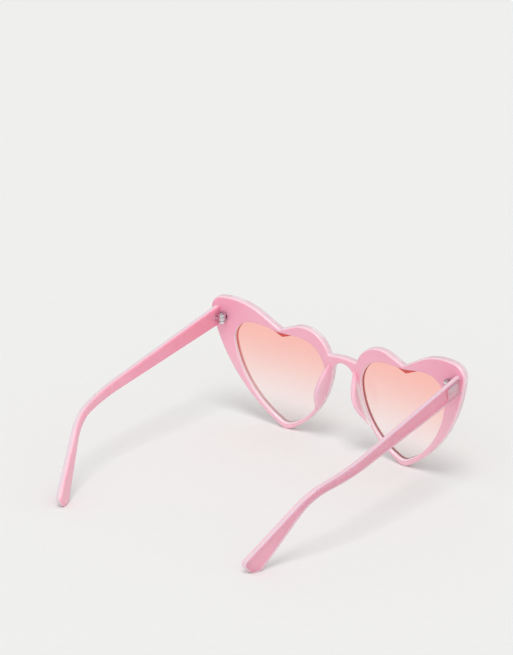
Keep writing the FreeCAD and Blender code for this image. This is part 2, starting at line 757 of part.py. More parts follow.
def make_front_hinge():
    """The front's hinge leaf: a sunk plate, two necks and two knuckles, bored for the screw."""
    hinge = hinge_placement()
    low = number("middle_knuckle") / 2 + number("knuckle_gap")
    high = barrel_half().number
    plate_back = -number("pivot_behind") - number("pink_thickness")
    leaf_bottom = -number("front_leaf_height") / 2
    pieces = [new_box(
        "front_leaf", hinge * at(
            -number("front_leaf_width") / 2, plate_back - number("leaf_thickness"), leaf_bottom),
        "sizes.front_leaf_width", "sizes.leaf_thickness", "sizes.front_leaf_height")]
    for place, bottom in (("upper", low), ("lower", -high)):
        pieces.append(new_cylinder(
            f"{place}_knuckle", hinge * at(0, 0, bottom), "sizes.knuckle_radius", "sizes.outer_knuckle"))
        pieces.append(new_box(
            f"{place}_neck", hinge * at(-number("neck_width") / 2, plate_back, bottom),
            "sizes.neck_width", "sizes.pivot_behind + sizes.pink_thickness", "sizes.outer_knuckle"))
    bore = new_cylinder(
        "front_bore", hinge * at(0, 0, -high), "sizes.screw_radius + sizes.thread_play",
        barrel_half().words + " + " + barrel_half().words)
    return cut("left_front_hinge", fuse("front_hinge_blank", pieces), bore)


def make_hinge_screw():
    """The hinge screw, with a slotted head on the upper knuckle."""
    hinge = hinge_placement()
    high = barrel_half().number
    head_top = high + number("screw_head_height")
    shank = new_cylinder(
        "screw_shank", hinge * at(0, 0, -high), "sizes.screw_radius",
        barrel_half().words + " + " + barrel_half().words)
    head = new_cylinder(
        "screw_head", hinge * at(0, 0, high), "sizes.screw_head_radius", "sizes.screw_head_height")
    slot = new_box(
        "screw_slot", hinge * at(
            -number("screw_head_radius"), -number("screw_slot_width") / 2,
            head_top - number("screw_slot_depth")),
        "2 * sizes.screw_head_radius", "sizes.screw_slot_width", "sizes.screw_slot_depth")
    return cut("left_hinge_screw", fuse("screw_blank", [shank, head]), slot)


def rounded_corner(before, here, after, radius):
    """Where the rounding of a corner starts and ends, its centre, and whether it turns left."""
    arriving = (here - before).normalize()
    leaving = (after - here).normalize()
    turn = math.atan2(arriving.cross(leaving).z, arriving.dot(leaving))
    reach = radius * math.tan(abs(turn) / 2)
    start, end = here - arriving * reach, here + leaving * reach
    left = Vector(-arriving.y, arriving.x, 0)
    return start, end, start + left * math.copysign(radius, turn), turn > 0


def draw_rounded_polygon(profile, corners):
    """A closed polygon; each corner has its place in the sketch and a rounding radius or None."""
    count = len(corners)
    points = [Vector(x.number, z.number, 0) for x, z, _ in corners]
    joints = []
    for index, (x, z, radius) in enumerate(corners):
        here = points[index]
        if radius is None:
            joints.append((here, here, None))
            continue
        start, end, centre, left = rounded_corner(
            points[index - 1], here, points[(index + 1) % count], radius.number)
        first, last = (start, end) if left else (end, start)
        arc = profile.arc(centre, radius.number, bearing(centre, first), bearing(centre, last))
        joints.append((start, end, (arc, START, END) if left else (arc, END, START)))
    lines = [profile.line(joints[index][1], joints[(index + 1) % count][0]) for index in range(count)]
    for index, (x, z, radius) in enumerate(corners):
        arriving, leaving = lines[index - 1], lines[index]
        if radius is None:
            profile.rule("Coincident", arriving, END, leaving, START)
            profile.place(leaving, START, x, z)
            continue
        arc, arc_start, arc_end = joints[index][2]
        profile.rule("Tangent", arriving, END, arc, arc_start)
        profile.rule("Tangent", arc, arc_end, leaving, START)
        profile.radius(arc, radius)
        corner = profile.sketch.addGeometry(Part.Point(points[index]), True)
        profile.rule("PointOnObject", corner, START, arriving)
        profile.rule("PointOnObject", corner, START, leaving)
        profile.place(corner, START, x, z)


def temple_depth():
    """How far the temple's tip reaches below the middle of its front end."""
    return size("temple_rear_below") + size("temple_toe_drop")


def draw_temple_side(profile):
    """The temple's side view: a bar that bends down behind the ear to a slanted, rounded tip."""
    forward = minus(size("temple_forward"))
    inner_bend_radius = size("temple_inner_bend_radius")
    rear_y = size("temple_rear_y")
    rear_below = size("temple_rear_below")
    heel_below = rear_below + size("temple_heel_drop")
    draw_rounded_polygon(profile, [
        (forward, minus(size("temple_hinge_below")), None),
        (size("temple_inner_bend_y"), minus(size("temple_inner_bend_below")), inner_bend_radius),
        (rear_y - size("temple_toe_ahead"), minus(temple_depth()), size("temple_toe_radius")),
        (rear_y - size("temple_heel_ahead"), minus(heel_below), size("temple_heel_radius")),
        (rear_y, minus(rear_below), size("temple_rear_radius")),
        (size("temple_outer_bend_y"), size("temple_outer_bend_above"), size("temple_outer_bend_radius")),
        (forward, size("temple_hinge_above"), None),
    ])
    reach = size("tool_reach")
    height = temple_depth() + reach
    draw_rectangle(
        profile, minus(size("temple_forward") + reach), temple_blank_length() + reach,
        minus(height), height)


def draw_temple_plan(profile, inner, outer):
    """The plan of one temple layer: straight from the hinge, then curving in towards the head."""
    start = size("temple_curve_start")
    radius = size("temple_curve_radius")
    turn = math.radians(number("temple_curve_angle"))
    length, forward = temple_blank_length(), minus(size("temple_forward"))
    rows = []
    for aside in (inner, outer):
        reach = radius.number + aside.number
        bend_end = (reach * math.cos(turn) - radius.number, start.number + reach * math.sin(turn))
        tail_x = bend_end[0] - (length.number - bend_end[1]) * math.tan(turn)
        run = profile.line((aside.number, forward.number), (aside.number, start.number))
        curve = profile.arc((-radius.number, start.number), reach, 0, turn)
        tail = profile.line(bend_end, (tail_x, length.number))
        profile.rule("Vertical", run)
        profile.rule("Tangent", run, END, curve, START)
        profile.rule("Tangent", curve, END, tail, START)
        profile.radius(curve, radius + aside)
        profile.place(tail, END, z=length)
        rows.append((run, curve, tail, (tail_x, length.number)))
    (run, curve, tail, tail_end), (outer_run, outer_curve, outer_tail, outer_tail_end) = rows
    front = profile.line((inner.number, forward.number), (outer.number, forward.number))
    back = profile.line(tail_end, outer_tail_end)
    profile.rule("Coincident", front, START, run, START)
    profile.rule("Coincident", front, END, outer_run, START)
    profile.rule("Coincident", back, START, tail, END)
    profile.rule("Coincident", back, END, outer_tail, END)
    profile.rule("Coincident", curve, CENTRE, outer_curve, CENTRE)
    profile.rule("Horizontal", front)
    profile.rule("Parallel", tail, outer_tail)
    profile.place(run, START, z=forward)
    profile.place(curve, CENTRE, minus(radius), start)
    slope = profile.rule("Angle", tail, math.pi / 2 + turn)
    profile.sketch.setExpression(f"Constraints[{slope}]", "(90 + sizes.temple_curve_angle) * 1 deg")


def aside_of(point):
    """How far a point of the temple lies outside its middle line in plan."""
    start, radius = number("temple_curve_start"), number("temple_curve_radius")
    if point.y <= start:
        return point.x
    across, along = point.x + radius, point.y - start
    angle = math.radians(number("temple_curve_angle"))
    if math.atan2(along, across) <= angle:
        return math.hypot(across, along) - radius
    return across * math.cos(angle) + along * math.sin(angle) - radius


def make_temple_layer(label, inner, outer, rounded):
    """One layer of the left temple, with its face at the rounded offset free of sharp edges."""
    body = new_body(label)
    profile = Profile(body, "plan")
    draw_temple_plan(profile, inner, outer)
    pad = body.newObject("PartDesign::Pad", "strip")
    pad.Profile = profile.sketch
    pad.SideType = "Symmetric"
    pad.setExpression("Length", f"2 * ({temple_depth().words}) + sizes.tool_reach")
    doc.recompute()
    side = Profile(body, "side_view", "YZ_Plane")
    draw_temple_side(side)
    cut_through(body, "trim", side)
    edges = []
    for edge in body.Tip.Shape.Edges:
        middle = edge.valueAt((edge.FirstParameter + edge.LastParameter) / 2)
        if abs(aside_of(middle) - rounded.number) < 1e-3 and edge.BoundBox.YLength > 1e-2:
            edges.append(edge)
    round_edges(body, "edge_rounding", edges, "temple_round")
    end = Profile(body, "end_plan", offset=temple_placement().inverse() * hinge_placement())
    reach = size("tool_reach")
    end_y = size("temple_end_gap") - size("pivot_behind")
    draw_rectangle(end, minus(reach), reach, end_y - reach, end_y)
    cut_through(body, "end", end)
    return body


def temple_seam():
    """Where the temple's two layers meet, outside its middle line."""
    return size("temple_pink_thickness") - half(size("temple_thickness"))


def temple_neck_length():
    """From the pivot to the middle of the plate in the temple."""
    inner_face = temple_x() - half(size("temple_thickness")) - pivot_x()
    return inner_face + size("temple_pink_thickness") + half(size("leaf_thickness"))


def make_temple_pink_layer():
    """The layer on the wearer's side, with a slot for the hinge leaf's neck."""
    inner = minus(half(size("temple_thickness")))
    body = make_temple_layer("left_temple_pink_layer", inner, temple_seam(), inner)
    profile = Profile(body, "neck_plan", offset=temple_placement().inverse() * hinge_placement())
    half_neck = half(size("neck_width")) + size("leaf_play")
    draw_rectangle(profile, size("screw_radius"), temple_neck_length(), minus(half_neck), half_neck)
    cut_through(body, "neck_slot", profile, "sizes.temple_neck_height + 2 * sizes.leaf_play")
    return body


def make_temple_clear_layer():
    """The outer layer, with a recess for the hinge leaf's plate."""
    outer = half(size("temple_thickness"))
    body = make_temple_layer("left_temple_clear_layer", temple_seam(), outer, outer)
    profile = Profile(body, "recess_plan")
    seam, play = temple_seam(), size("leaf_play")
    front = size("temple_leaf_setback")
    draw_rectangle(
        profile, seam - play, seam + size("leaf_thickness") + play,
        front - play, front + size("temple_leaf_length") + play)
    cut_through(body, "recess", profile, "sizes.temple_leaf_height + 2 * sizes.leaf_play")
    return body


def make_temple_hinge():
    """The temple's hinge leaf: a plate in the clear layer, a neck and the middle knuckle."""
    hinge = hinge_placement()
    leaf = new_box(
        "temple_leaf", temple_placement() * at(
            temple_seam().number, number("temple_leaf_setback"), -number("temple_leaf_height") / 2),
        "sizes.leaf_thickness", "sizes.temple_leaf_length", "sizes.temple_leaf_height")
    neck = new_box(
        "temple_neck", hinge * at(0, -number("neck_width") / 2, -number("temple_neck_height") / 2),
        temple_neck_length().words, "sizes.neck_width", "sizes.temple_neck_height")
    knuckle = new_cylinder(
        "middle_knuckle", hinge * at(0, 0, -number("middle_knuckle") / 2),
        "sizes.knuckle_radius", "sizes.middle_knuckle")
    bore = new_cylinder(
        "temple_bore", hinge * at(0, 0, -number("middle_knuckle")),
        "sizes.screw_radius + sizes.running_play", "2 * sizes.middle_knuckle")
    return cut("left_temple_hinge", fuse("temple_hinge_blank", [leaf, neck, knuckle]), bore)


def leaning_box(shape, lean):
    """The box round a shape once it leans back."""
    copy = shape.copy()
    copy.rotate(Vector(), Vector(1, 0, 0), -lean)
    return copy.optimalBoundingBox(False, False)


def stand_placement(front, temple):
    """Lean the front back until heart tips and temple tips stand level, midway over the origin."""
    lean = 6.0
    for _ in range(4):
        front_box = leaning_box(front, lean)
        temple_box = leaning_box(temple, lean)
        rise = temple_box.ZMin - front_box.ZMin
        lean += math.degrees(math.atan2(rise, temple_box.YMax - front_box.YMin))
    boxes = [leaning_box(front, lean), leaning_box(temple, lean)]
    low = min(box.ZMin for box in boxes)
    front_y, back_y = min(box.YMin for box in boxes), max(box.YMax for box in boxes)
    turn = Rotation(Vector(1, 0, 0), -lean)
    return Placement(Vector(0, -(front_y + back_y) / 2, -low), turn), lean


def mirror_right(piece):
    """The right hand copy of a left hand piece."""
    right = doc.addObject("Part::Mirroring", piece.Label.replace("left_", "right_"))
    right.Label = piece.Label.replace("left_", "right_")
    right.Source = piece
    right.Normal = Vector(1, 0, 0)
    right.Base = Vector()
    return right


def check(pieces):
    """Stop unless every object came out whole."""
    for item in doc.Objects:
        if "Invalid" in item.State or "Error" in item.State:
            raise RuntimeError(f"{item.Label} failed: {item.State}")
    for piece in pieces:
        if piece.Shape.isNull() or not piece.Shape.isValid() or len(piece.Shape.Solids) != 1:
            raise RuntimeError(f"{piece.Label} is not one sound solid")


def main():
    """Build every piece, stand the sunglasses on their tips and write the pieces."""
    fill_sheet()
    front_pink = make_front_pink_layer()
    front_clear = make_front_clear_layer()
    temple_layers = [make_temple_pink_layer(), make_temple_clear_layer()]
    for layer in temple_layers:
        layer.Placement = temple_placement()
    left_pieces = [make_lens(), make_nose_pad()] + temple_layers
    left_pieces += [make_front_hinge(), make_hinge_screw(), make_temple_hinge()]
    doc.recompute()
    whole_temple = Part.makeCompound([layer.Shape for layer in temple_layers])
    whole_front = Part.makeCompound([front_pink.Shape, front_clear.Shape])
    stand, lean = stand_placement(whole_front, whole_temple)
    for piece in [front_pink, front_clear] + left_pieces:
        piece.Placement = stand * piece.Placement
    doc.recompute()
    right_pieces = [mirror_right(piece) for piece in left_pieces]
    doc.recompute()
    pieces = [front_pink, front_clear] + left_pieces + right_pieces
    check(pieces)
    os.makedirs("parts", exist_ok=True)
    for piece in pieces:
        piece.Shape.exportStep(f"parts/{piece.Label}.step")
    pivot = stand * hinge_placement()
    axis = pivot.Rotation * Vector(0, 0, 1)
    print("lean", round(lean, 3), "pivot", tuple(round(v, 4) for v in pivot.Base))
    print("pivot axis", tuple(round(v, 6) for v in axis))
    whole = Part.makeCompound([piece.Shape for piece in pieces]).BoundBox
    print("box", [round(v, 2) for v in (whole.XLength, whole.YLength, whole.ZLength)])


main()
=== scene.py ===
# %% [markdown]
# Heart shaped sunglasses, standing open on a pale table and seen from behind.
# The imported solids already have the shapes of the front, the lenses, the hinges and the temples.
# This lesson gives them the finishes of the real thing: a polished pink layer bonded to a clear one,
# lenses whose coral tint fades downwards, and small bright hinges.

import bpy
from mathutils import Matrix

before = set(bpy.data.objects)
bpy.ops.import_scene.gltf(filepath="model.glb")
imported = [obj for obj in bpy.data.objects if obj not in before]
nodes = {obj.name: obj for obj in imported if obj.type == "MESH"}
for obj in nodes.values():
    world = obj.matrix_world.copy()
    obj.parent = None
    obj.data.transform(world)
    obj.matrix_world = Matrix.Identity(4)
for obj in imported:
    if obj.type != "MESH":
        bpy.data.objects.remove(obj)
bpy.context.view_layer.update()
print("nodes:", ", ".join(sorted(nodes)))

# %% [markdown]
# Blender works in metres, and glasses are measured in millimetres, so one named factor turns one into the
# other. The Standard view shows a colour about as it is written, which makes it easy to match a photograph.

# %% Tools and units
import math

import bmesh
import bpy
from mathutils import Matrix, Vector

MM = 0.001
scene = bpy.context.scene
scene.view_settings.view_transform = "Standard"
print("view:", scene.view_settings.view_transform)

# %% [markdown]
# A finish is a material built from nodes. Arithmetic on the nodes' outputs reads best as arithmetic, so a
# small class wraps an output socket, and adding or multiplying two of them adds a Math node.

# %% Arithmetic on sockets
class Wire:
    """An output socket of a finish. Arithmetic on it adds Math nodes."""

    def __init__(self, finish, socket):
        self.finish = finish
        self.socket = socket

    def output(self, name):
        """Another output of the same node."""
        return Wire(self.finish, self.socket.node.outputs[name])

    def __add__(self, other):
        return self.finish.maths("ADD", self, other)

    def __sub__(self, other):
        return self.finish.maths("SUBTRACT", self, other)

    def __rsub__(self, other):
        return self.finish.maths("SUBTRACT", other, self)

    def __mul__(self, other):
        return self.finish.maths("MULTIPLY", self, other)

    def __truediv__(self, other):
        return self.finish.maths("DIVIDE", self, other)

    def __rtruediv__(self, other):
        return self.finish.maths("DIVIDE", other, self)

    __radd__ = __add__
    __rmul__ = __mul__

    def __neg__(self):
        return 0.0 - self

    def __abs__(self):
        return self.finish.maths("ABSOLUTE", self)

    def root(self):
        return self.finish.maths("SQRT", self)

    def sign(self):
        return self.finish.maths("SIGN", self)

    def at_most(self, limit):
        return self.finish.maths("MINIMUM", self, limit)

    def at_least(self, limit):
        return self.finish.maths("MAXIMUM", self, limit)

    def ramp(self, low, high):
        """0 below low, 1 above high, and a soft step between them."""
        inputs = {"Value": self, "From Min": low, "From Max": high}
        return self.finish.node("ShaderNodeMapRange", {"interpolation_type": "SMOOTHSTEP"}, inputs)


# %% [markdown]
# Every other node comes from one method, which takes the node's type, its settings and its inputs.
# The rest of the class names the few things that these finishes need: a place on the piece, the way its
# surface faces, a noise measured in millimetres, a mix of two colours or two shaders, and fine bumps.

# %% A small language for finishes
class Finish:
    """The nodes of a material, or of the world round the object."""

    def __init__(self, owner):
        owner.use_nodes = True
        self.owner = owner
        self.tree = owner.node_tree
        self.tree.nodes.clear()
        self.spot = self.node("ShaderNodeTexCoord", output="Object")
        self.way = self.spot.output("Normal")

    def node(self, kind, settings=None, inputs=None, output=0):
        made = self.tree.nodes.new(kind)
        for name, setting in (settings or {}).items():
            setattr(made, name, setting)
        for name, term in (inputs or {}).items():
            if isinstance(term, Wire):
                self.tree.links.new(term.socket, made.inputs[name])
            else:
                made.inputs[name].default_value = term
        return Wire(self, made.outputs[output] if len(made.outputs) else None)

    def maths(self, operation, *terms):
        return self.node("ShaderNodeMath", {"operation": operation}, dict(enumerate(terms)))

    def split(self, vector):
        """The three parts of a vector."""
        across = self.node("ShaderNodeSeparateXYZ", inputs={0: vector})
        return across, across.output("Y"), across.output("Z")

    def noise(self, grain, detail=2.0, stretch=(1.0, 1.0, 1.0)):
        """Values round 0.5 whose grains are that many millimetres wide."""
        place = self.node("ShaderNodeMapping", inputs={"Vector": self.spot, "Scale": stretch})
        inputs = {"Vector": place, "Scale": 1.0 / (grain * MM), "Detail": detail}
        return self.node("ShaderNodeTexNoise", {"noise_dimensions": "3D"}, inputs)

    def mix(self, share, first, second):
        """A colour between two, by share."""
        first, second = [(*term, 1.0) if isinstance(term, tuple) else term for term in (first, second)]
        # a Mix node has sockets for every kind of data, and those for colours are 6, 7 and output 2
        inputs = {0: share, 6: first, 7: second}
        return self.node("ShaderNodeMix", {"data_type": "RGBA"}, inputs, output=2)

    def blend(self, share, first, second):
        """A shader between two, by share."""
        return self.node("ShaderNodeMixShader", inputs={0: share, 1: first, 2: second})

    def bump(self, height, depth):
        """Bumps that many millimetres high."""
        return self.node("ShaderNodeBump", inputs={"Height": height, "Distance": depth * MM})

    def principled(self, **inputs):
        named = {name.replace("_", " "): term for name, term in inputs.items()}
        return self.node("ShaderNodeBsdfPrincipled", inputs=named)

    def surface(self, shader):
        """Put the shader on the surface, and hand back the material or world."""
        for_world = isinstance(self.owner, bpy.types.World)
        kind = "ShaderNodeOutputWorld" if for_world else "ShaderNodeOutputMaterial"
        self.node(kind, inputs={"Surface": shader})
        print("finish:", self.owner.name, "with", len(self.tree.nodes), "nodes")
        return self.owner


def new_finish(name):
    return Finish(bpy.data.materials.new(name))


def finish_nodes(material, *names):
    """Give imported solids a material."""
    for name in names:
        nodes[name].data.materials.clear()
        nodes[name].data.materials.append(material)


# %% [markdown]
# The front is a bowed sheet that leans a little. Where a point lies in the sheet, how deep behind its back
# face and how high up the front, decides its colour, so these measures are worked out from Object
# coordinates: turn by the lean, then take the distance from the bow's axis.
# The way the surface faces tells the sheet's faces from its cut walls.

# %% Where a point lies in the front
LEAN = math.radians(4.228)
FRONT_Y = -66.688 * MM
FRONT_Z = 0.024 * MM
BOW_RADIUS = 480.0 * MM
HEART_X = 35.0 * MM
HEART_HEIGHT = 30.0 * MM


class FrontPlace:
    """Measures of a point in the bowed, leaning front."""

    def __init__(self, finish):
        self.across, y, z = finish.split(finish.spot)
        back, up = y - FRONT_Y, z - FRONT_Z
        behind = back * math.cos(LEAN) - up * math.sin(LEAN)
        self.height = back * math.sin(LEAN) + up * math.cos(LEAN)
        from_axis = BOW_RADIUS - behind
        radius = (self.across * self.across + from_axis * from_axis).root()
        self.depth = radius - BOW_RADIUS
        way_x, way_y, way_z = finish.split(finish.way)
        way_back = way_y * math.cos(LEAN) - way_z * math.sin(LEAN)
        self.way_up = way_y * math.sin(LEAN) + way_z * math.cos(LEAN)
        # 1 on the outer face, -1 on faces towards the wearer, 0 on walls
        self.facing = (way_x * self.across - way_back * from_axis) / radius
        # above 0 on walls that face the middle of their heart
        side = self.across.sign()
        out = self.across * side - HEART_X
        self.inward = -(way_x * side * out + self.way_up * (self.height - HEART_HEIGHT))


print("the front leans", round(math.degrees(LEAN), 2), "degrees")

# %% [markdown]
# The wearer's side of the front and of the temples is opaque pink plastic with a polished skin.
# Real sheet is not quite even: it has faint clouds, and the polish leaves a very slight waviness, which
# shows in the reflections. The pink is deeper on the wings, a painted shade from the temples beside them,
# and paler towards the hearts' tips, painted light from the table below. Where the sheet is cut, light gets
# into it from the side, so its walls are much paler than its face.
# The colours could be painted on by hand. Mixed by the measures above, they follow the shape by themselves.

# %% Polish of the pink plastic
PLASTIC_IOR = 1.49
WAVE_DEPTH = 0.008
CLOUD_GRAIN = 9.0


def clouds(finish):
    """Soft clouds in the sheet, from 0 to 1."""
    return finish.noise(CLOUD_GRAIN, detail=3.0).ramp(0.3, 0.7)


def polished_pink(finish, colour, smoothest=0.07, wave=2.5, milky=0.15, tint=(1.0, 0.5, 0.5), reach=0.6):
    """Polished, slightly milky plastic. Waves and the reach of light in it are in millimetres."""
    return finish.surface(finish.principled(
        Base_Color=colour, Roughness=smoothest + 0.08 * finish.noise(1.2), IOR=PLASTIC_IOR,
        Normal=finish.bump(finish.noise(wave), WAVE_DEPTH),
        Subsurface_Weight=milky, Subsurface_Radius=tint, Subsurface_Scale=reach * MM))


print("plastic with a refractive index of", PLASTIC_IOR)

# %% [markdown]
# On the front, the height gives the fade from the brows to the tips, which is painted light, and the depth
# below the skin gives the paler walls. The walls round the lenses are the palest, and the rounded upper
# edges get a painted highlight.

# %% Pink plastic of the front
PINK = (0.94, 0.455, 0.575)
WING_SHADE_PINK = (0.955, 0.395, 0.54)
LIGHT_PINK = (0.95, 0.56, 0.66)
RIM_PINK = (0.94, 0.63, 0.71)
PALE = (0.95, 0.73, 0.79)
PAINTED_EDGE_HIGHLIGHT = (0.98, 0.86, 0.90)
EDGE_HIGHLIGHT_SHARE = 0.45
TIP_TO_BROW = 4.0 * MM, 50.0 * MM
WING_ACROSS = 40.0 * MM, 68.0 * MM
WING_HEIGHT = 34.0 * MM, 52.0 * MM
GLUE_LINE = 1.4 * MM, 1.48 * MM
BELOW_SKIN = 0.15 * MM, 0.5 * MM
BELOW_WINDOW_SKIN = 0.02 * MM, 0.25 * MM
TOWARDS_LENS = 0.0, 4.0 * MM
OFF_WALL = 0.2, 0.5
ON_FACE = 0.8, 0.97
UPWARDS = 0.1, 0.5


def front_face(finish, place):
    """The front's pink, by place, with painted light towards the tips and painted shade on the wings."""
    # paler towards the tips is painted light from the table; deeper on the wings is painted shade from the
    # temples
    low = 1.0 - place.height.ramp(*TIP_TO_BROW)
    wing_shade = abs(place.across).ramp(*WING_ACROSS) * place.height.ramp(*WING_HEIGHT)
    colour = finish.mix(0.8 * low + 0.2 * clouds(finish), PINK, LIGHT_PINK)
    return finish.mix(wing_shade, colour, WING_SHADE_PINK)


def front_walls(finish, place, face):
    """The face's colour on the skin, paler ones on the cut walls below it, and a painted highlight on upper
    edges.
    """
    uncovered = 1.0 - place.depth.ramp(*GLUE_LINE)
    window = place.inward.ramp(*TOWARDS_LENS)
    colour = finish.mix(place.depth.ramp(*BELOW_SKIN) * uncovered, face, RIM_PINK)
    colour = finish.mix(place.depth.ramp(*BELOW_WINDOW_SKIN) * uncovered * window, colour, PALE)
    # painted highlight on the rounded edges that face upwards
    rounded = abs(place.facing).ramp(*OFF_WALL) * (1.0 - abs(place.facing).ramp(*ON_FACE))
    bright = EDGE_HIGHLIGHT_SHARE * rounded * place.way_up.ramp(*UPWARDS) * uncovered
    return finish.mix(bright, colour, PAINTED_EDGE_HIGHLIGHT)


def front_pink():
    finish = new_finish("front_pink_plastic")
    place = FrontPlace(finish)
    return polished_pink(finish, front_walls(finish, place, front_face(finish, place)))


finish_nodes(front_pink(), "front_pink_layer")

# %% [markdown]
# The temples are cut from the same sheet, with the deepest pink at the hinges. On a temple the broad faces
# look sideways, so the sideways part of the surface's direction is enough to tell a face from an edge.

# %% Pink plastic of the temples
HINGE_PINK = (0.965, 0.318, 0.452)
HINGE_TO_BEND = -70.0 * MM, 60.0 * MM
TEMPLE_PINK_LAYERS = "left_temple_pink_layer", "right_temple_pink_layer"


def sideways(finish):
    """1 on the temples' broad faces, 0 on their edges."""
    return abs(finish.split(finish.way)[0])


def temple_pink():
    finish = new_finish("temple_pink_plastic")
    along = finish.split(finish.spot)[1].ramp(*HINGE_TO_BEND)
    face = finish.mix(0.55 * along + 0.12 * clouds(finish), HINGE_PINK, LIGHT_PINK)
    edge = 1.0 - sideways(finish).ramp(0.2, 0.6)
    return polished_pink(finish, finish.mix(edge, face, RIM_PINK))


finish_nodes(temple_pink(), *TEMPLE_PINK_LAYERS)

# %% [markdown]
# The nose pads are small fins of the same plastic on the rims. They are thin towards their crests, where
# light comes through, so the pink fades with the distance behind the front's back face. The foot of the
# flank beside each lens is lit through the lens, and that light is painted into it as an almost white
# colour. The plastic scatters more light here than in the sheet, which softens the shading of the fins.

# %% Nose pads
CREST = (0.94, 0.58, 0.69)
PAINTED_FLANK_LIGHT = (0.98, 0.90, 0.90)
ROOT_TO_CREST = 0.5 * MM, 4.5 * MM
FLANK_TURN = 0.4, 0.65
FOOT_RISE = 1.4 * MM, 3.4 * MM
FOOT_HEIGHT = 33.0 * MM, 37.5 * MM


def pad_plastic():
    finish = new_finish("nose_pad_plastic")
    place = FrontPlace(finish)
    rise = -place.depth
    colour = finish.mix(rise.ramp(*ROOT_TO_CREST), front_face(finish, place), CREST)
    flank = (finish.split(finish.way)[0] * place.across.sign()).ramp(*FLANK_TURN)
    foot = (1.0 - rise.ramp(*FOOT_RISE)) * (1.0 - place.height.ramp(*FOOT_HEIGHT))
    # painted light: the foot of the flank beside the lens is almost white
    colour = finish.mix(flank * foot, colour, PAINTED_FLANK_LIGHT)
    return polished_pink(finish, colour, smoothest=0.08, wave=2.0, milky=0.4, tint=(1.0, 0.7, 0.7), reach=1.2)


finish_nodes(pad_plastic(), "left_nose_pad", "right_nose_pad")

# %% [markdown]
# The outer side is clear plastic bonded to the pink, so the pink shows through its face while its cut walls
# look milky, with soft painted glints. Real refraction in such a thin sheet is slow to render and mostly
# shows noise, so this finish is a polished veil: nearly clear on the broad faces and denser on the walls.

# %% Polish of the clear plastic
def polished_clear(finish, colour, cover):
    """A polished veil that hides that share of what lies behind it."""
    return finish.principled(
        Base_Color=colour, Roughness=0.05 + 0.08 * finish.noise(1.5), IOR=PLASTIC_IOR,
        Normal=finish.bump(finish.noise(3.0), WAVE_DEPTH), Alpha=cover)


print("clear plastic is a veil over the pink one")

# %% [markdown]
# Each lens lies on a seat in the clear layer, behind a lip. Seen through the tinted lens, beside the pink
# rim, the two lie in shade and make a dark red line; this shade is painted, and darkens the light that
# passes. A Transparent shader with a colour does this, and a Mix Shader brings it in by place, with deeper
# painted shade round the right lens than the left one. Over the cleft the lip hangs lower than the pink
# layer, and there the seat shows as a small red crescent, whose red is painted shade seen through the lens.

# %% Seats and lips round the lenses
SEAT_SHADE = (0.60, 0.13, 0.13, 1.0)
DEEP_SEAT_SHADE = (0.36, 0.01, 0.02, 1.0)
SHADE_RISE = 15.0 * MM, 42.0 * MM
RIGHT_SIDE = 0.0, 10.0 * MM
FLAT = 0.5, 0.9
BELOW_LENS = 2.6 * MM, 2.9 * MM
BELOW_SEAT = 3.3 * MM, 3.5 * MM
CRESCENT_X = 35.5 * MM
CRESCENT_ENDS = 5.0 * MM, 7.0 * MM
CRESCENT_HEIGHT = 41.0 * MM, 43.0 * MM


def round_lens(place, wall):
    """Three masks: the seat, the lip's wall, and the crescent over the cleft."""
    deep = place.depth.ramp(*BELOW_LENS)
    # seen from inside, the outer face turns its direction too, and only its depth tells it from the seat
    seat = (-place.facing).ramp(*FLAT) * deep * (1.0 - place.depth.ramp(*BELOW_SEAT))
    lip = wall * place.inward.ramp(*TOWARDS_LENS) * deep
    beside = abs(abs(place.across) - CRESCENT_X)
    crescent = (1.0 - beside.ramp(*CRESCENT_ENDS)) * place.height.ramp(*CRESCENT_HEIGHT)
    return seat, lip, crescent


def painted_seat_shade(finish, place):
    """The shader that darkens the passing light as painted shade, and how strongly it does so by place."""
    # the right lens gets the deeper painted shade
    right = (-place.across).ramp(*RIGHT_SIDE)
    light = finish.node("ShaderNodeBsdfTransparent", inputs={"Color": SEAT_SHADE})
    deep = finish.node("ShaderNodeBsdfTransparent", inputs={"Color": DEEP_SEAT_SHADE})
    strength = (0.51 + 0.39 * place.height.ramp(*SHADE_RISE)).at_least(0.98 * right)
    return finish.blend(right, light, deep), strength


print("seats lie more than", round(BELOW_LENS[0] / MM, 2), "mm below the back face")

# %% [markdown]
# The walls of the pockets round the hinge leaves are left out of the veil, because on the real front the
# cement fills them and they can't be seen.

# %% Clear plastic of the front
VEIL = (0.82, 0.55, 0.64)
PAINTED_GLINT = (0.93, 0.82, 0.87)
SHADED_OUTER_EDGE = (0.66, 0.42, 0.50)
SEAT = (0.95, 0.45, 0.46)
LIP = (0.92, 0.66, 0.69)
SHADED_CRESCENT_RED = (0.86, 0.045, 0.06)
NEAR_OUTSIDE = 3.0 * MM, 3.7 * MM
FACE_COVER = 0.08
WALL_COVER = 0.77
LENS_SIDE_COVER = 0.25
LEAF_X = 64.6 * MM
LEAF_HEIGHT = 50.6 * MM
LEAF_SIDES = 3.2 * MM, 3.6 * MM
LEAF_ENDS = 3.6 * MM, 4.0 * MM


def off_leaf(place):
    """0 in the pocket of a hinge leaf, 1 elsewhere."""
    aside = abs(abs(place.across) - LEAF_X).ramp(*LEAF_SIDES)
    return aside.at_least(abs(place.height - LEAF_HEIGHT).ramp(*LEAF_ENDS))


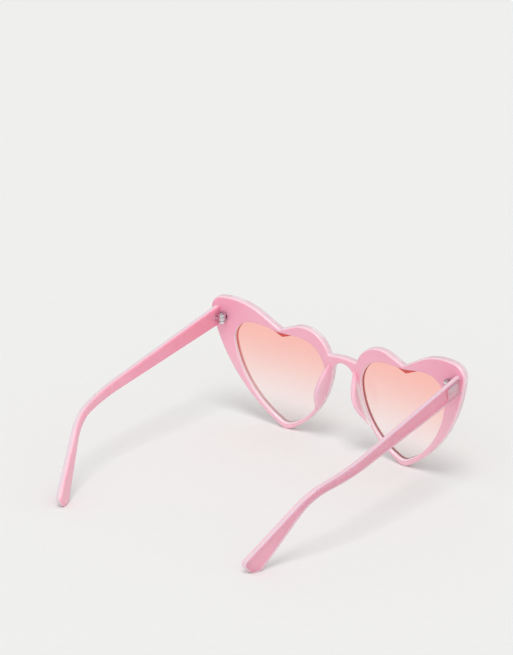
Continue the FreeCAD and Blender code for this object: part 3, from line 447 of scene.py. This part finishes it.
def clear_front():
    finish = new_finish("clear_front_plastic")
    place = FrontPlace(finish)
    wall = 1.0 - abs(place.facing).ramp(*FLAT)
    seat, lip, crescent = round_lens(place, wall)
    # painted glints on the milky walls
    colour = finish.mix(0.7 * finish.noise(7.0).ramp(0.45, 0.65), VEIL, PAINTED_GLINT)
    # painted shade along the outer edge of the clear layer
    colour = finish.mix(place.depth.ramp(*NEAR_OUTSIDE), colour, SHADED_OUTER_EDGE)
    colour = finish.mix(lip, colour, LIP)
    # painted shade: the crescent's red stands for the shaded seat seen through the lens
    colour = finish.mix(seat, colour, finish.mix(crescent, SEAT, SHADED_CRESCENT_RED))
    veil = FACE_COVER + WALL_COVER * (wall * off_leaf(place))
    seat_cover = seat * (LENS_SIDE_COVER + (1.0 - LENS_SIDE_COVER) * crescent)
    cover = veil * (1.0 - (seat + lip).at_most(1.0)) + seat_cover + LENS_SIDE_COVER * lip
    shade_filter, strength = painted_seat_shade(finish, place)
    # painted shade on the seat and the lip's wall, left off the crescent
    painted_shade = (seat + 0.7 * lip) * (1.0 - crescent) * strength
    return finish.surface(finish.blend(painted_shade, polished_clear(finish, colour, cover), shade_filter))


finish_nodes(clear_front(), "front_clear_layer")

# %% [markdown]
# On the temples the clear layer is outside. Its broad face lets the pink through, with faint streaks along
# the length, painted reflections that fade towards the bend. Its rounded edges show a darker pink line,
# a painted refraction of the pink layer, and its upper and lower edges are pale. Cement fills the pocket
# round the hinge leaf, so the pocket's walls are left out of the finish, and the face over it is a little
# milkier.

# %% Clear plastic of the temples
CLEAR_EDGE = (0.87, 0.69, 0.77)
PAINTED_REFRACTION_PINK = (0.82, 0.42, 0.56)
REFLECTION_STREAK_PINK = (0.84, 0.57, 0.67)
FACE_VEIL = (0.88, 0.64, 0.73)
CEMENT = (0.84, 0.62, 0.68)
LENGTHWISE = (1.0, 0.03, 1.0)
STREAKS_END = 15.0 * MM, 45.0 * MM
POCKET_END = -49.0 * MM, -47.0 * MM
POCKET_SIDES = 2.8 * MM, 3.2 * MM
LEAF_START = (-56.45 * MM, 50.0 * MM)
LEAF_DROP = 0.206


def from_leaf(finish):
    """How far back a point of a temple lies, and how far above the middle of its hinge leaf."""
    back, up = finish.split(finish.spot)[1:]
    return back, up - LEAF_START[1] + LEAF_DROP * (back - LEAF_START[0])


def pocket(finish):
    """1 round the hinge leaf, inside the temple."""
    back, above = from_leaf(finish)
    return (1.0 - abs(above).ramp(*POCKET_SIDES)) * (1.0 - back.ramp(*POCKET_END))


def clear_temple():
    finish = new_finish("clear_temple_plastic")
    facing = sideways(finish)
    rounded = facing.ramp(0.25, 0.5)
    broad = facing.ramp(0.7, 0.9)
    straight = 1.0 - finish.split(finish.spot)[1].ramp(*STREAKS_END)
    # painted reflections: lengthwise streaks on the broad face
    reflection_streaks = finish.noise(1.4, stretch=LENGTHWISE).ramp(0.35, 0.65) * straight
    filled = pocket(finish)
    # painted refraction: a darker pink line on the rounded edges
    colour = finish.mix(rounded, CLEAR_EDGE, PAINTED_REFRACTION_PINK)
    streaked = finish.mix(reflection_streaks, REFLECTION_STREAK_PINK, FACE_VEIL)
    colour = finish.mix(broad, colour, finish.mix(filled, streaked, CEMENT))
    edge_cover = (0.9 - 0.15 * rounded) * (1.0 - filled)
    face_cover = 0.20 + 0.04 * reflection_streaks + 0.15 * filled
    cover = edge_cover * (1.0 - broad) + face_cover * broad
    return finish.surface(polished_clear(finish, colour, cover))


finish_nodes(clear_temple(), "left_temple_clear_layer", "right_temple_clear_layer")

# %% [markdown]
# The two layers share a face, and two faces in one place flicker in a render. A Displace modifier lets each
# pink layer swell by a fiftieth of a millimetre into the clear one, about the thickness of the glue.

# %% Bond between the layers
BOND = 0.02 * MM
for name in ("front_pink_layer", *TEMPLE_PINK_LAYERS):
    bond = nodes[name].modifiers.new("bond", "DISPLACE")
    bond.strength = BOND
    bond.mid_level = 0.0
print("pink layers swell", BOND / MM, "mm into the clear ones")

# %% [markdown]
# The lenses are thin clear plastic, dipped in a coral dye from the top: strong under the brows, nearly gone
# at the tips. A Principled shader with full transmission is enough, with its colour mixed by height.
# A very faint glow in the dye's colour is painted light, because the real lenses look a little brighter
# than the table behind them.

# %% Lenses
CORAL = (1.0, 0.55, 0.49)
NEARLY_CLEAR = (1.0, 0.965, 0.96)
PAINTED_CORAL_GLOW = (1.0, 0.32, 0.25)
PAINTED_FAINT_GLOW = (0.75, 0.62, 0.60)
PAINTED_GLOW_STRENGTH = 0.045
LENS_IOR = 1.5


def lens_finish():
    finish = new_finish("coral_lens")
    dye = FrontPlace(finish).height.ramp(*TIP_TO_BROW)
    # the emission is painted light: a faint glow in the dye's colour
    return finish.surface(finish.principled(
        Base_Color=finish.mix(dye, NEARLY_CLEAR, CORAL), Roughness=0.01 + 0.02 * finish.noise(2.0),
        IOR=LENS_IOR, Transmission_Weight=1.0,
        Emission_Color=finish.mix(dye, PAINTED_FAINT_GLOW, PAINTED_CORAL_GLOW), Emission_Strength=PAINTED_GLOW_STRENGTH))


finish_nodes(lens_finish(), "left_lens", "right_lens")

# %% [markdown]
# The hinges are small leaves with a bright plating, rubbed a little duller in patches, whose darker colour
# is a painted dark reflection, and the screws are turned steel. The plates that are sunk into the plastic
# hardly show: those in the front look pink, and those in the temples too, but for one grey patch under the
# cement. So the finish takes the plastic's colour there, and Metallic falls to zero, which is simpler than a
# second material on the same solid.

# %% Hinges and screws
HINGES = "left_front_hinge", "right_front_hinge", "left_temple_hinge", "right_temple_hinge"
SCREWS = "left_hinge_screw", "right_hinge_screw"
PLATING = (0.88, 0.87, 0.89)
DARK_REFLECTION_PLATING = (0.52, 0.49, 0.54)
CEMENTED = (0.74, 0.56, 0.61)
STEEL = (0.66, 0.66, 0.68)
DULL_STEEL = (0.48, 0.48, 0.50)
TEMPLE_LEAF_X = 68.3 * MM
FRONT_LEAF_DEPTH = 1.3 * MM
SUNK_EDGE = 0.1 * MM
BARE_ABOVE = -1.6 * MM, -0.6 * MM
BARE_END = -51.0 * MM, -49.6 * MM


def plated_metal():
    finish = new_finish("bright_plating")
    place = FrontPlace(finish)
    in_temple = abs(place.across).ramp(TEMPLE_LEAF_X - SUNK_EDGE, TEMPLE_LEAF_X + SUNK_EDGE)
    in_front = place.depth.ramp(FRONT_LEAF_DEPTH - SUNK_EDGE, FRONT_LEAF_DEPTH + SUNK_EDGE)
    sunk = in_temple.at_least(in_front)
    rub = finish.noise(0.6, detail=4.0)
    # the darker patches are a painted dark reflection in the plating
    colour = finish.mix(rub.ramp(0.35, 0.65), PLATING, DARK_REFLECTION_PLATING)
    back, above = from_leaf(finish)
    bare = above.ramp(*BARE_ABOVE) * (1.0 - back.ramp(*BARE_END))
    colour = finish.mix(in_temple, colour, finish.mix(bare, HINGE_PINK, CEMENTED))
    colour = finish.mix(in_front, colour, PINK)
    return finish.surface(finish.principled(
        Base_Color=colour, Roughness=0.08 + 0.10 * rub + 0.35 * sunk, Metallic=1.0 - sunk,
        Normal=finish.bump(rub, 0.015)))


def turned_steel():
    finish = new_finish("turned_steel")
    rub = finish.noise(0.25, detail=3.0)
    colour = finish.mix(rub.ramp(0.35, 0.7), STEEL, DULL_STEEL)
    return finish.surface(finish.principled(
        Base_Color=colour, Roughness=0.16 + 0.14 * rub, Metallic=1.0, Normal=finish.bump(rub, 0.006)))


finish_nodes(plated_metal(), *HINGES)
finish_nodes(turned_steel(), *SCREWS)

# %% [markdown]
# Stamped and turned metal has no knife edges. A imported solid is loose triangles, so a Weld modifier joins
# them first, and then a Bevel modifier breaks the sharp edges, which catch the light.

# %% Broken edges of the metal
HINGE_EDGE = 0.10
SCREW_EDGE = 0.06
WELD_GAP = 0.001 * MM
SHARP = math.radians(50.0)


def break_edges(name, width):
    """Bevels that many millimetres wide."""
    weld = nodes[name].modifiers.new("weld", "WELD")
    weld.merge_threshold = WELD_GAP
    bevel = nodes[name].modifiers.new("broken_edges", "BEVEL")
    bevel.width = width * MM
    bevel.segments = 2
    bevel.limit_method = "ANGLE"
    bevel.angle_limit = SHARP


for name in HINGES:
    break_edges(name, HINGE_EDGE)
for name in SCREWS:
    break_edges(name, SCREW_EDGE)
print("broken edges on", len(HINGES + SCREWS), "pieces")

# %% [markdown]
# The table is a plain pale sheet that fills the picture, with a barely visible paper grain. One flat face is
# enough for it.

# %% Floor
PAPER = (0.900, 0.900, 0.888)
PAPER_GRAIN = (0.907, 0.907, 0.896)
FLOOR_REACH = 6.0


def flat_sheet(name, reach):
    shape = bmesh.new()
    bmesh.ops.create_grid(shape, x_segments=1, y_segments=1, size=reach)
    mesh = bpy.data.meshes.new(name)
    shape.to_mesh(mesh)
    shape.free()
    sheet = bpy.data.objects.new(name, mesh)
    scene.collection.objects.link(sheet)
    return sheet


def paper():
    finish = new_finish("pale_paper")
    colour = finish.mix(finish.noise(4.0).ramp(0.3, 0.7), PAPER, PAPER_GRAIN)
    return finish.surface(finish.principled(Base_Color=colour, Roughness=0.9, Specular_IOR_Level=0.1))


floor = flat_sheet("floor", FLOOR_REACH)
floor.data.materials.append(paper())

# %% [markdown]
# A white dome, brighter overhead, gives the even light of a small studio, with one wide soft panel on the
# camera's side that lights the faces towards the viewer and shines in the polished edges. The panel could be
# a lamp, but as a part of the dome it fades out softly all round.

# %% Light round the object
WHITE = (1.0, 1.0, 1.0, 1.0)
HORIZON = 0.565
OVERHEAD = 0.63
PANEL = 0.55
PANEL_WAY = Vector((-0.50, 0.72, 0.50)).normalized()
PANEL_EDGE = 0.70, 0.92


def studio():
    finish = Finish(bpy.data.worlds.new("studio_dome"))
    way = finish.spot.output("Generated")
    rise = finish.split(way)[2]
    ways = {0: way, 1: PANEL_WAY}
    towards = finish.node("ShaderNodeVectorMath", {"operation": "DOT_PRODUCT"}, ways, output="Value")
    glow = HORIZON + (OVERHEAD - HORIZON) * rise + PANEL * towards.ramp(*PANEL_EDGE)
    return finish.surface(finish.node("ShaderNodeBackground", inputs={"Color": WHITE, "Strength": glow}))


scene.world = studio()

# %% [markdown]
# One soft lamp behind the viewer's left shoulder casts the faint shadows that fall away to the right. Its
# energy is set so that it gives a named share of the light on the table. A Sun lamp lights the whole table
# alike, and its angle sets how soft the shadows are.

# %% Key lamp
KEY_FROM = Vector((-0.255, 0.36, 1.0)).normalized()
KEY_SHARE = 0.26
KEY_SPREAD = math.radians(24.0)

lamp = bpy.data.lights.new("soft_key", "SUN")
lamp.energy = KEY_SHARE * math.pi / KEY_FROM.z
lamp.angle = KEY_SPREAD
holder = bpy.data.objects.new("soft_key", lamp)
holder.rotation_euler = KEY_FROM.to_track_quat("Z", "Y").to_euler()
scene.collection.objects.link(holder)
print("soft_key gives", KEY_SHARE, "of the light on the table")

# %% [markdown]
# The camera stands behind and above, where the photograph was taken. Its place comes from matching the
# outline of the solids to the outline in the photograph. A long lens far away keeps the perspective flat.

# %% Camera
AZIMUTH = math.radians(219.25)
RISE = math.radians(20.83)
ROLL = math.radians(0.29)
DISTANCE = 1430.8 * MM
TARGET = Vector((1.87, -4.7, 75.60)) * MM
SENSOR_HEIGHT = 36.0
FOCAL_LENGTH = 180.63
FAR = 50.0

back = Vector((math.sin(AZIMUTH) * math.cos(RISE), -math.cos(AZIMUTH) * math.cos(RISE), math.sin(RISE)))
level = Vector((math.cos(AZIMUTH), math.sin(AZIMUTH), 0.0))
upright = back.cross(level)
right = level * math.cos(ROLL) + upright * math.sin(ROLL)
up = upright * math.cos(ROLL) - level * math.sin(ROLL)
lens = bpy.data.cameras.new("camera")
lens.sensor_fit = "VERTICAL"
lens.sensor_height = SENSOR_HEIGHT
lens.lens = FOCAL_LENGTH
lens.clip_end = FAR
camera = bpy.data.objects.new("camera", lens)
turn = Matrix((right, up, back)).transposed().to_4x4()
camera.matrix_world = Matrix.Translation(TARGET + back * DISTANCE) @ turn
scene.collection.objects.link(camera)
scene.camera = camera
print("camera at", tuple(round(v, 3) for v in camera.matrix_world.translation))
